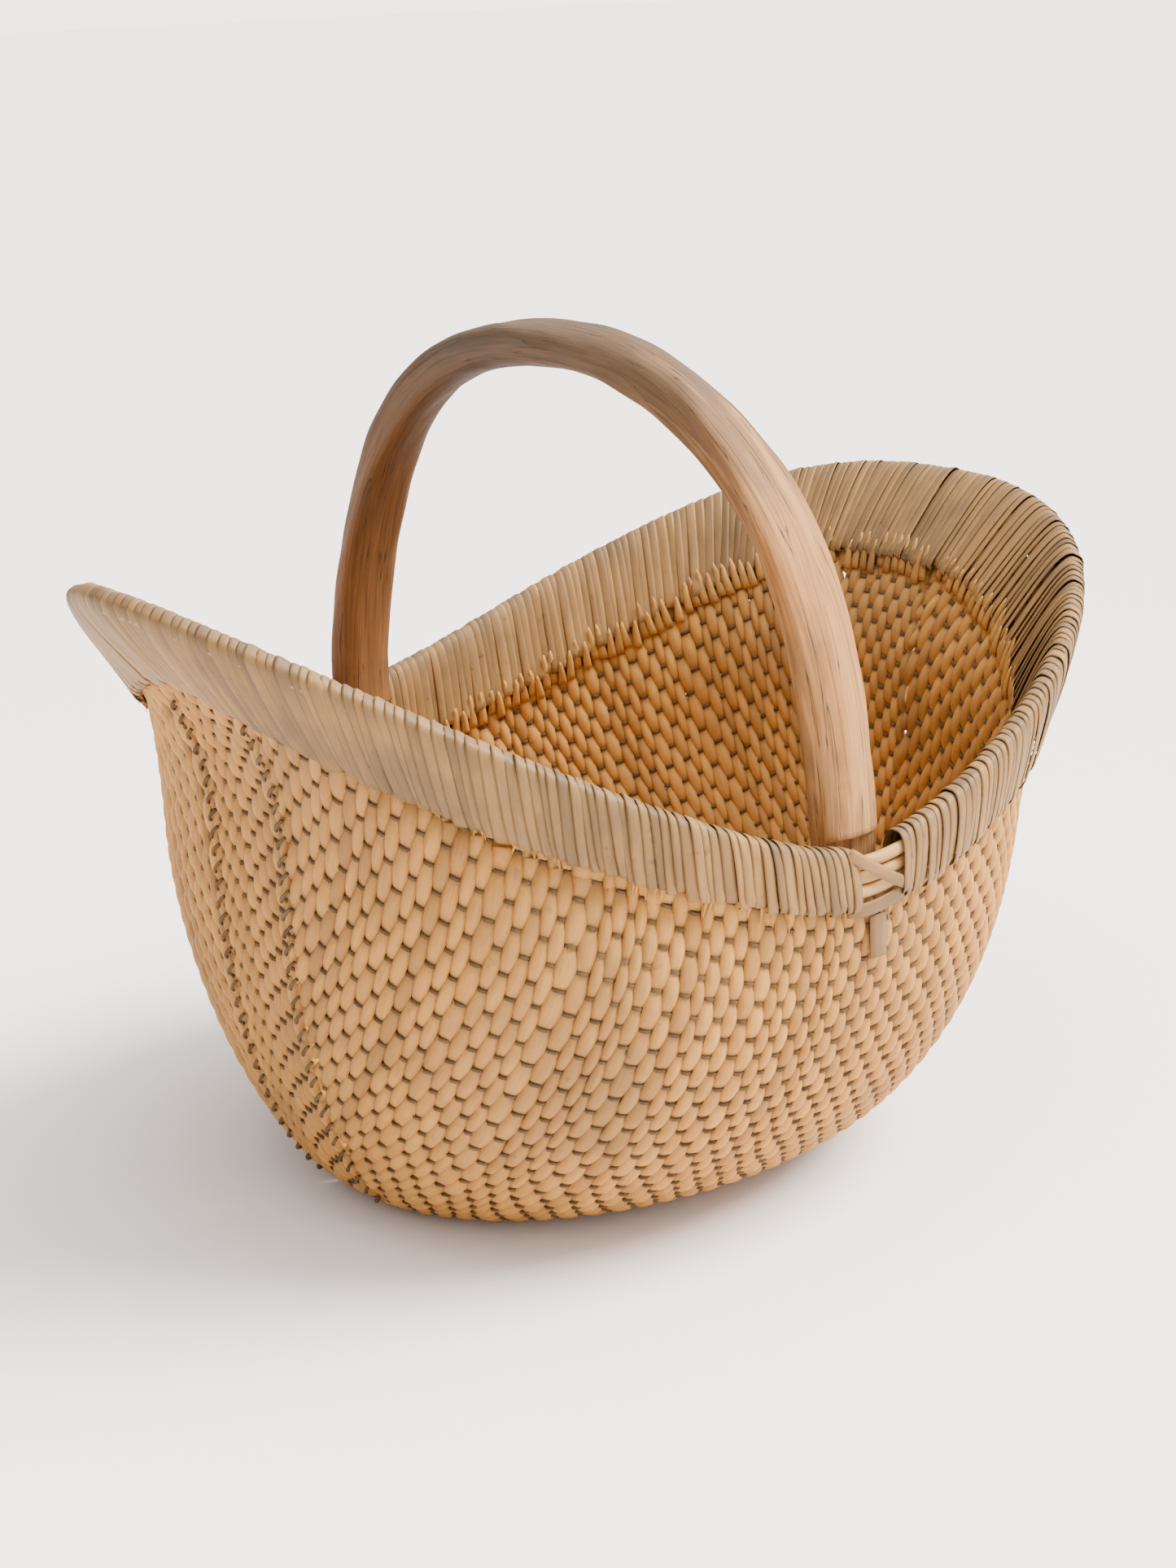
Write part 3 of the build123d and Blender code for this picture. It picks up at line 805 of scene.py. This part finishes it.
th = angle_at(np.full(14, 3.5), -1)
tongue = band_strip(th, np.linspace(31, 50, 14), 4.4, 4.6, 0.9, FLAT, 0.2)
finish_piece(tongue.build("near_tongue_stub", SKEIN), "bent_wood", "near_handle_tongue_end")

# %% [markdown]
# Rods end in points over the inner edge of the skein, and under its outer edge
# they leave short splinters.  Each tip follows its own rod's path.

# %% Rod tips
TIP_RING = ring(6, 2.4)
for word in ("near", "far", "left", "right"):
    tips = Bundle()
    for j, rod_path in enumerate(SIDES[word]):
        if rod_path is None or rod_path[4] < 70:
            continue
        at, p, side, out, _, deep = rod_path
        run = np.linspace(0, 1, 7)
        reach = rng.uniform(3, 11)
        s_at = deep * WRAP_IN + 3 - (8 + reach) * run + rng.normal(0, 1.5)
        pp, sd, ot = (sample(s_at, at, a) for a in (p, side, out))
        stand = -3.4 - 5.2 * run ** 0.8
        thin = np.sqrt(np.clip(1 - run ** 1.6, 0.02, 1))
        sway = rng.normal(0, 1.0) * run
        tips.strip(pp + ot * stand[:, None] + sd * sway[:, None], sd, ot, (2.5 * thin), (1.0 * thin), TIP_RING,
                   rng.random(), 0.25 * rng.random(), rng.random() * 90)
        if rng.random() < 0.45:
            for _ in range(2):
                reach = rng.uniform(4, 12)
                s_at = deep * WRAP_OUT - 7 + 0.9 * (deep - BAND_W_MID) + reach * run
                pp, sd, ot = (sample(s_at, at, a) for a in (p, side, out))
                stand = 4.6 - 0.8 * run + rng.uniform(0, 0.8)
                sway = rng.normal(0, 1.6) + rng.normal(0, 1.5) * run
                tips.strip(pp + ot * stand[:, None] + sd * sway[:, None], sd, ot, 0.9 * (1 - 0.8 * run),
                           0.4 * (1 - 0.6 * run), TIP_RING, rng.random(), 0.2, rng.random() * 90)
    finish_piece(tips.build(word + "_rod_tips", ROD), "willow_rod")

# %% [markdown]
# The corner seams are closed by a row of short cord stitches, each a small
# slanting arch that stands a little off the wall.

# %% Corner stitches
for word, end in (("left", -1), ("right", 1)):
    for side_word, sgn in (("near", -1), ("far", 1)):
        stitches = Bundle()
        th = SEAM[end] * (1 if sgn > 0 else -1)
        use = (ROWS_V < 0.80) & (ROWS_V > 0.12)
        p, n = wall(th[use], ROWS_V[use]), wall_normal(th[use], ROWS_V[use])
        s = run_length(p)
        for c in np.arange(3, s[-1] - 3, 8.0):
            span = np.linspace(-1, 1, 9)
            here = c + span * 3.2
            pp = sample(here, s, p)
            nn = unit(sample(here, s, n))
            along = unit(np.gradient(pp, axis=0))
            across = np.cross(along, nn)
            path = pp + across * (span * 3.0)[:, None] + nn * (3.0 + 1.6 * (1 - span ** 2))[:, None]
            sd, ot = frames(path, nn)
            stitches.strip(path, sd, ot, 0.8, 0.8, CORD_RING, rng.random(), 0.0, rng.random() * 100)
        st = stitches.build(f"{word}_{side_word}_corner_stitches", CORD)
        finish_piece(st, "hemp_cord", f"{word}_{side_word}_corner_lace")

# %% [markdown]
# A pale floor, one wide window-like sun, a softbox overhead and a world that is
# brighter on the window's side give the soft studio look, strongest from the
# right and above.  The camera is a short telephoto, a little above the rim.

# %% Floor, lights and camera
floor_mesh = bpy.data.meshes.new("studio_floor")
floor_mesh.from_pydata([(-60, -60, 0), (60, -60, 0), (60, 60, 0), (-60, 60, 0)], [], [(0, 1, 2, 3)])
floor = bpy.data.objects.new("studio_floor", floor_mesh)
bpy.context.scene.collection.objects.link(floor)
paper = bpy.data.materials.new("studio_paper")
paper.use_nodes = True
paper.node_tree.nodes["Principled BSDF"].inputs["Base Color"].default_value = (0.90, 0.85, 0.82, 1)
paper.node_tree.nodes["Principled BSDF"].inputs["Roughness"].default_value = 0.9
floor_mesh.materials.append(paper)

world = bpy.data.worlds.new("studio")
bpy.context.scene.world = world
world.use_nodes = True
wt = world.node_tree
sky = wt.nodes["Background"]
seen = node(wt, "ShaderNodeLightPath").outputs["Is Camera Ray"]
aim = node(wt, "ShaderNodeVectorMath", {"Vector": node(wt, "ShaderNodeTexCoord").outputs["Generated"]},
           operation="DOT_PRODUCT")
aim.inputs[1].default_value = (0.80, -0.45, 0.40)
window = ramp(wt, value_math(wt, "MULTIPLY_ADD", aim.outputs["Value"], 0.5, 0.5), (0.1, (0.16, 0.16, 0.17)),
              (0.9, (1.25, 1.24, 1.22)))
wt.links.new(mixed(wt, "MIX", seen, window, (2.15, 2.0, 1.9)), sky.inputs["Color"])
sky.inputs["Strength"].default_value = 1.9

sun_data = bpy.data.lights.new("key_window", "SUN")
sun_data.energy, sun_data.angle, sun_data.color = 11.0, math.radians(34), (1, 0.97, 0.93)
sun = bpy.data.objects.new("key_window", sun_data)
bpy.context.scene.collection.objects.link(sun)
sun.matrix_world = mathutils.Vector((0.52, -0.38, 0.76)).to_track_quat("Z", "Y").to_matrix().to_4x4()

box_data = bpy.data.lights.new("overhead_softbox", "AREA")
box_data.size, box_data.energy = 0.9, 16.0
box = bpy.data.objects.new("overhead_softbox", box_data)
bpy.context.scene.collection.objects.link(box)
box.matrix_world = mathutils.Matrix.Translation((-0.1, -0.25, 1.35)) @ mathutils.Matrix.Rotation(-0.2, 4, "X")

AZ, EL, ROLL, DIST, LENS = math.radians(-38.0), math.radians(17.23), math.radians(-2.49), 1.21, 59.03
back = np.array([math.sin(AZ) * math.cos(EL), -math.cos(AZ) * math.cos(EL), math.sin(EL)])
right = np.array([math.cos(AZ), math.sin(AZ), 0.0])
up = np.cross(back, right)
right, up = (math.cos(ROLL) * right + math.sin(ROLL) * up, -math.sin(ROLL) * right + math.cos(ROLL) * up)
target = np.array([0.00421 * math.cos(AZ), 0.00421 * math.sin(AZ), 0.169])
cam_data = bpy.data.cameras.new("view_camera")
cam_data.lens, cam_data.sensor_width = LENS, 36
cam = bpy.data.objects.new("view_camera", cam_data)
bpy.context.scene.collection.objects.link(cam)
m = np.eye(4)
m[:3, 0], m[:3, 1], m[:3, 2], m[:3, 3] = right, up, back, target + back * DIST
cam.matrix_world = mathutils.Matrix(m.tolist())
bpy.context.scene.camera = cam
bpy.context.view_layer.update()
print("camera", round(DIST, 2), "m away, lights", [o.name for o in (sun, box)])
